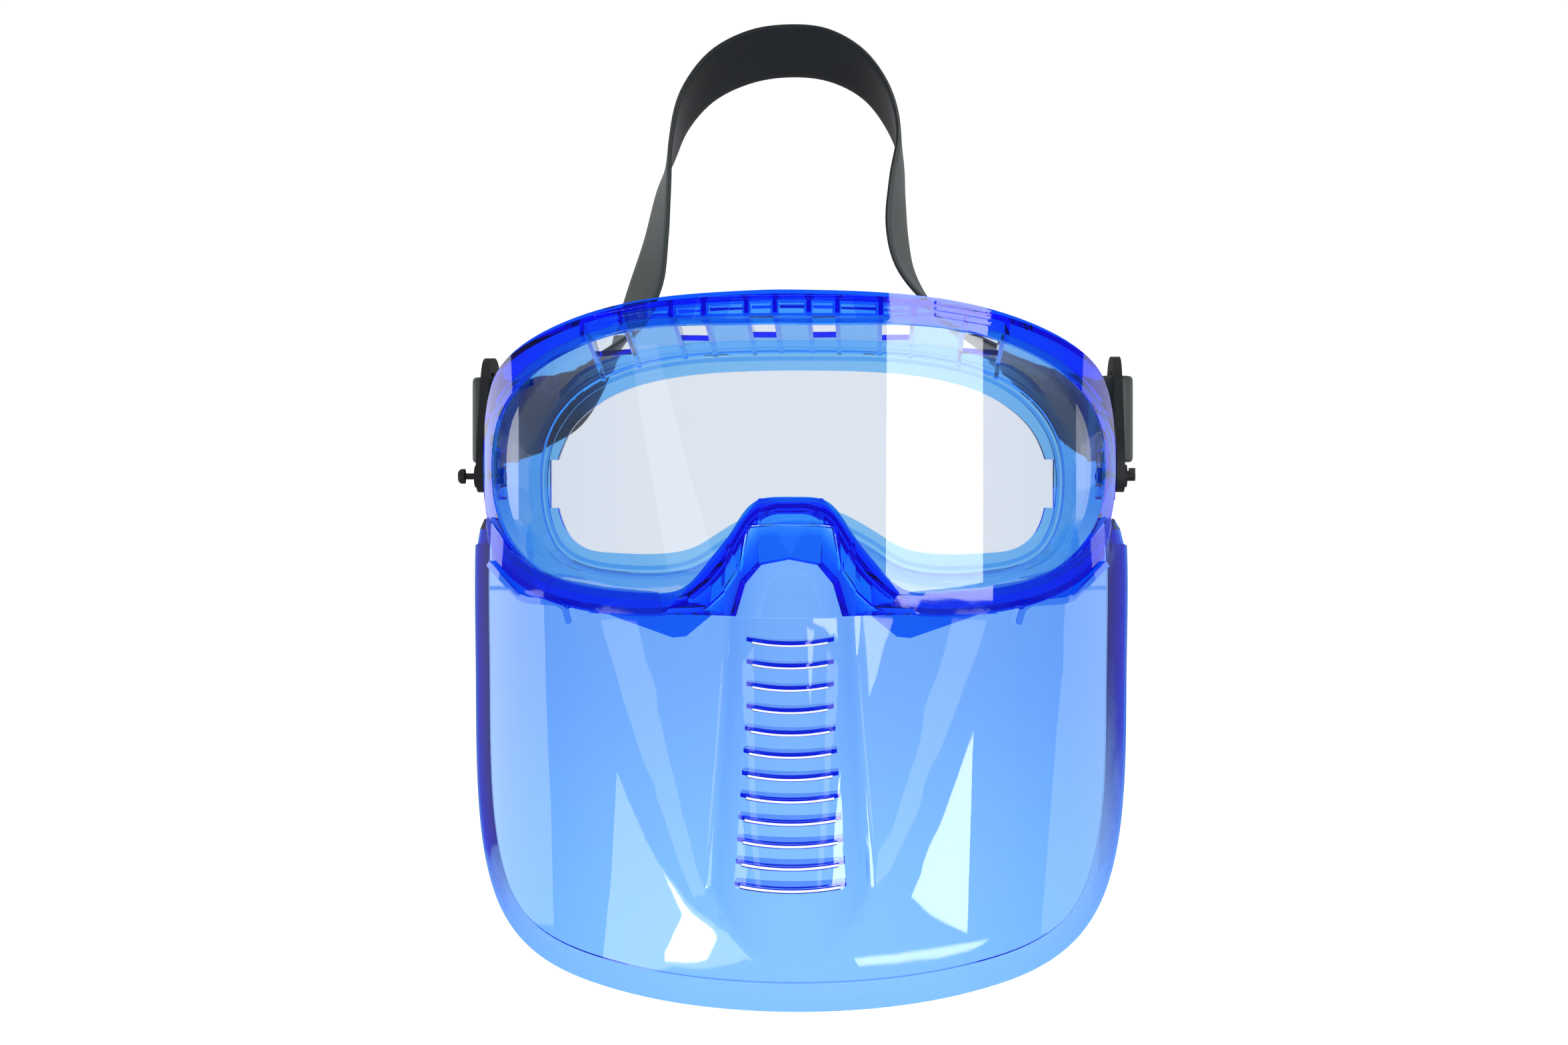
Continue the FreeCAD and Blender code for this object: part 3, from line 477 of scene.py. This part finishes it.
def light_card(name, corners, radius, strength):
    """Glowing card that only reflections see, shaped by what it should cover."""
    mesh = bpy.data.meshes.new(name)
    points = [card_corner(x, z, radius) for x, z in card_outline(corners)]
    mesh.from_pydata(points, [], card_faces(len(points)))
    card = bpy.data.objects.new(name, mesh)
    bpy.context.collection.objects.link(card)
    material = bpy.data.materials.new(name)
    material.use_nodes = True
    tree = material.node_tree
    tree.nodes.remove(tree.nodes["Principled BSDF"])
    glow = tree.nodes.new("ShaderNodeEmission")
    glow.inputs["Strength"].default_value = strength
    tree.links.new(glow.outputs["Emission"], tree.nodes["Material Output"].inputs["Surface"])
    card.data.materials.append(material)
    card.visible_camera = False
    card.visible_diffuse = False
    card.visible_transmission = False
    card.visible_volume_scatter = False
    card.visible_shadow = False


# Light cards: name, cylinder, strength, and the outline that the card's reflection
# covers on that cylinder, as (x, z) in millimetres.
CARDS = [
    ("card_window", LENS_R, 12.0, [(25.0, -38.0), (50.5, -38.0), (50.5, 60.0), (25.0, 60.0)]),
    ("card_left_bar", SHIELD_R, 3.2,
     [(-51.1, -43.2), (-40.9, -42.9), (-22.8, -114.0), (-25.5, -115.0)]),
    ("card_right_bar", SHIELD_R, 3.2,
     [(51.4, -43.0), (42.4, -42.8), (21.5, -112.0), (24.1, -112.0)]),
    ("card_triangle", SHIELD_R, 18.0, [(47.6, -72.8), (46.0, -125.3), (31.2, -115.2)]),
    ("card_left_box", SHIELD_R, 3.4,
     [(-91.0, -36.0), (-67.9, -36.0), (-64.4, -126.2), (-84.0, -126.2)]),
    ("card_right_box", SHIELD_R, 2.5,
     [(73.6, -36.0), (92.0, -36.0), (87.0, -127.3), (66.0, -127.3)]),
    ("card_left_rim", SHIELD_R, 3.4,
     [(-91.0, 45.0), (-81.0, 45.0), (-81.0, -35.0), (-91.0, -35.0)]),
    ("card_right_rim", SHIELD_R, 2.5,
     [(81.0, 45.0), (92.0, 45.0), (92.0, -35.0), (81.0, -35.0)]),
    ("card_streak", SHIELD_R, 16.0,
     [(16.5, -131.0), (52.0, -127.4), (46.0, -130.2), (18.0, -132.8)]),
    ("card_splash", SHIELD_R, 6.0,
     [(-46.4, -83.6), (-48.0, -112.0), (-50.2, -133.4), (-30.0, -134.0),
      (-7.9, -130.9), (-23.7, -119.3), (-35.4, -105.9)]),
    ("card_splash_core", SHIELD_R, 34.0,
     [(-44.0, -124.0), (-35.0, -107.0), (-27.0, -119.0), (-15.0, -129.5), (-36.0, -132.5)]),
    ("card_tail", SHIELD_R, 9.0, [(19.0, -41.8), (27.0, -41.8), (20.5, -63.4)]),
    ("card_lens_glow", LENS_R, 1.5,
     [(-43.4, 30.0), (-36.0, 30.0), (-20.0, -30.0), (-33.0, -30.0)]),
]
make_floor()
make_world()
for name, radius, strength, corners in CARDS:
    light_card(name, corners, radius, strength)


def area_light(name, azimuth, elevation, reach, wide, high, watts):
    """Soft rectangular light aimed at the origin; it makes no reflections."""
    data = bpy.data.lights.new(name, "AREA")
    data.shape = "RECTANGLE"
    data.size = wide
    data.size_y = high
    data.energy = watts
    lamp = bpy.data.objects.new(name, data)
    bpy.context.collection.objects.link(lamp)
    a = math.radians(azimuth)
    e = math.radians(elevation)
    direction = Vector((math.sin(a) * math.cos(e), -math.cos(a) * math.cos(e), math.sin(e)))
    lamp.location = direction * reach
    lamp.rotation_euler = direction.to_track_quat("Z", "Y").to_euler()
    lamp.visible_camera = False
    lamp.visible_glossy = False


area_light("top_soft", azimuth=0.0, elevation=75.0, reach=1.2, wide=1.0, high=0.6, watts=12.0)

# Light is piped a long way inside the clear mouldings, so it may bounce many times.
LIGHT_BOUNCES = 32
scene = bpy.context.scene
scene.view_settings.view_transform = "Standard"
scene.cycles.max_bounces = LIGHT_BOUNCES
scene.cycles.transmission_bounces = LIGHT_BOUNCES
scene.cycles.transparent_max_bounces = LIGHT_BOUNCES
scene.cycles.glossy_bounces = LIGHT_BOUNCES
